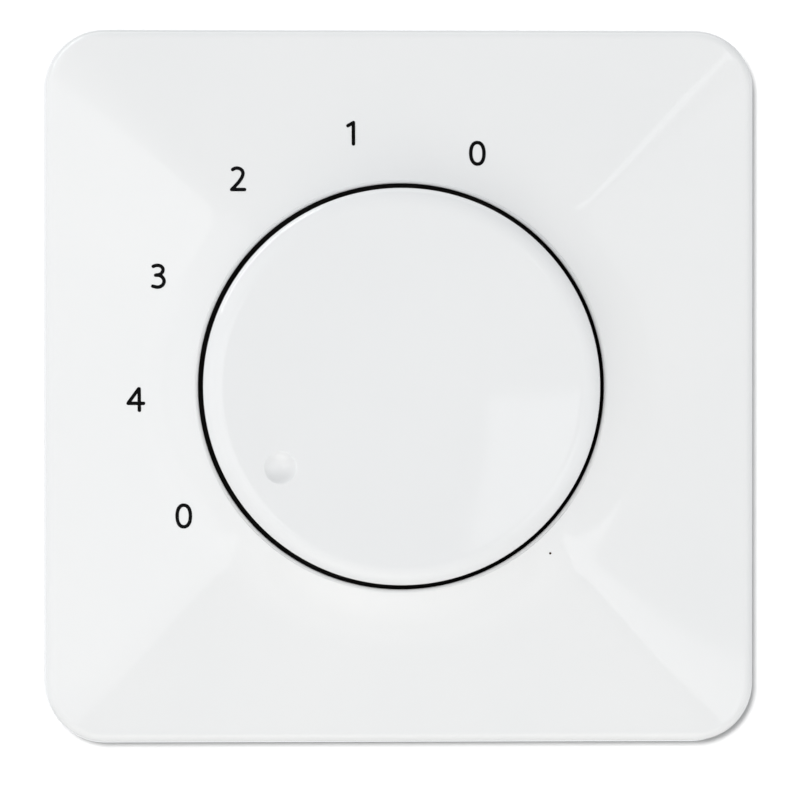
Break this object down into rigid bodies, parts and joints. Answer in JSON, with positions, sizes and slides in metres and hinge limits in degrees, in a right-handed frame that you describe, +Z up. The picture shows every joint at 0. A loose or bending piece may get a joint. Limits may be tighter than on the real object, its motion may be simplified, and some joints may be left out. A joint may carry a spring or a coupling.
{
  "type": "speed controller",
  "caption": "Flush-mounted rotary fan speed controller: square cover plate, flat disc knob with a numbered dial, and a stepped rotary switch behind it.",
  "frame": {"origin": "on the knob's axis, in the plane of the wall", "axes": "+Z up the wall, -Y out of the wall towards the viewer, +X to the viewer's right"},
  "size_m": [0.0816, 0.0386, 0.082],
  "materials": {
    "cover_plastic": "white, moulded, glossy",
    "knob_plastic": "white, moulded, glossy",
    "cap_plastic": "light grey, moulded, satin",
    "base_plastic": "black, moulded, matt",
    "rotor_plastic": "off-white, moulded, satin",
    "zinc_steel": "zinc plated, pressed",
    "clamp_steel": "zinc plated, folded",
    "screw_steel": "zinc plated, turned",
    "spring_steel": "bright spring steel",
    "nut_brass": "bare brass, turned",
    "contact_brass": "bare brass, stamped",
    "contact_bronze": "bare bronze, stamped"
  },
  "bodies": {
    "housing": {"cover_plate": "cover_plastic", "shaft_nut": "nut_brass", "lock_washer": "zinc_steel", "mounting_plate": "zinc_steel", "switch_cap": "cap_plastic", "switch_base": "base_plastic", "detent_spring": "spring_steel", "common_contact": "contact_brass", "speed_contact_1": "contact_brass", "speed_contact_2": "contact_brass", "speed_contact_3": "contact_brass", "speed_contact_4": "contact_brass", "line_clamp": "clamp_steel", "speed_1_clamp": "clamp_steel", "speed_2_clamp": "clamp_steel", "speed_3_clamp": "clamp_steel", "speed_4_clamp": "clamp_steel", "line_screw": "screw_steel", "speed_1_screw": "screw_steel", "speed_2_screw": "screw_steel", "speed_3_screw": "screw_steel", "speed_4_screw": "screw_steel", "housing_screw_1": "screw_steel", "housing_screw_2": "screw_steel", "housing_screw_3": "screw_steel", "housing_screw_4": "screw_steel", "plate_screw_1": "screw_steel", "box_screw_1": "screw_steel", "plate_screw_2": "screw_steel", "box_screw_2": "screw_steel"},
    "dial": {"knob": "knob_plastic", "knob_spring": "spring_steel", "rotor": "rotor_plastic", "contact_bridge": "contact_bronze"}
  },
  "joints": [
    {"name": "knob_turn", "type": "hinge", "parent": "housing", "child": "dial", "pos_m": [0, 0, 0], "axis": [0, 1, 0], "range_deg": [0, 138.46], "deforming": ["detent_spring"]}
  ]
}
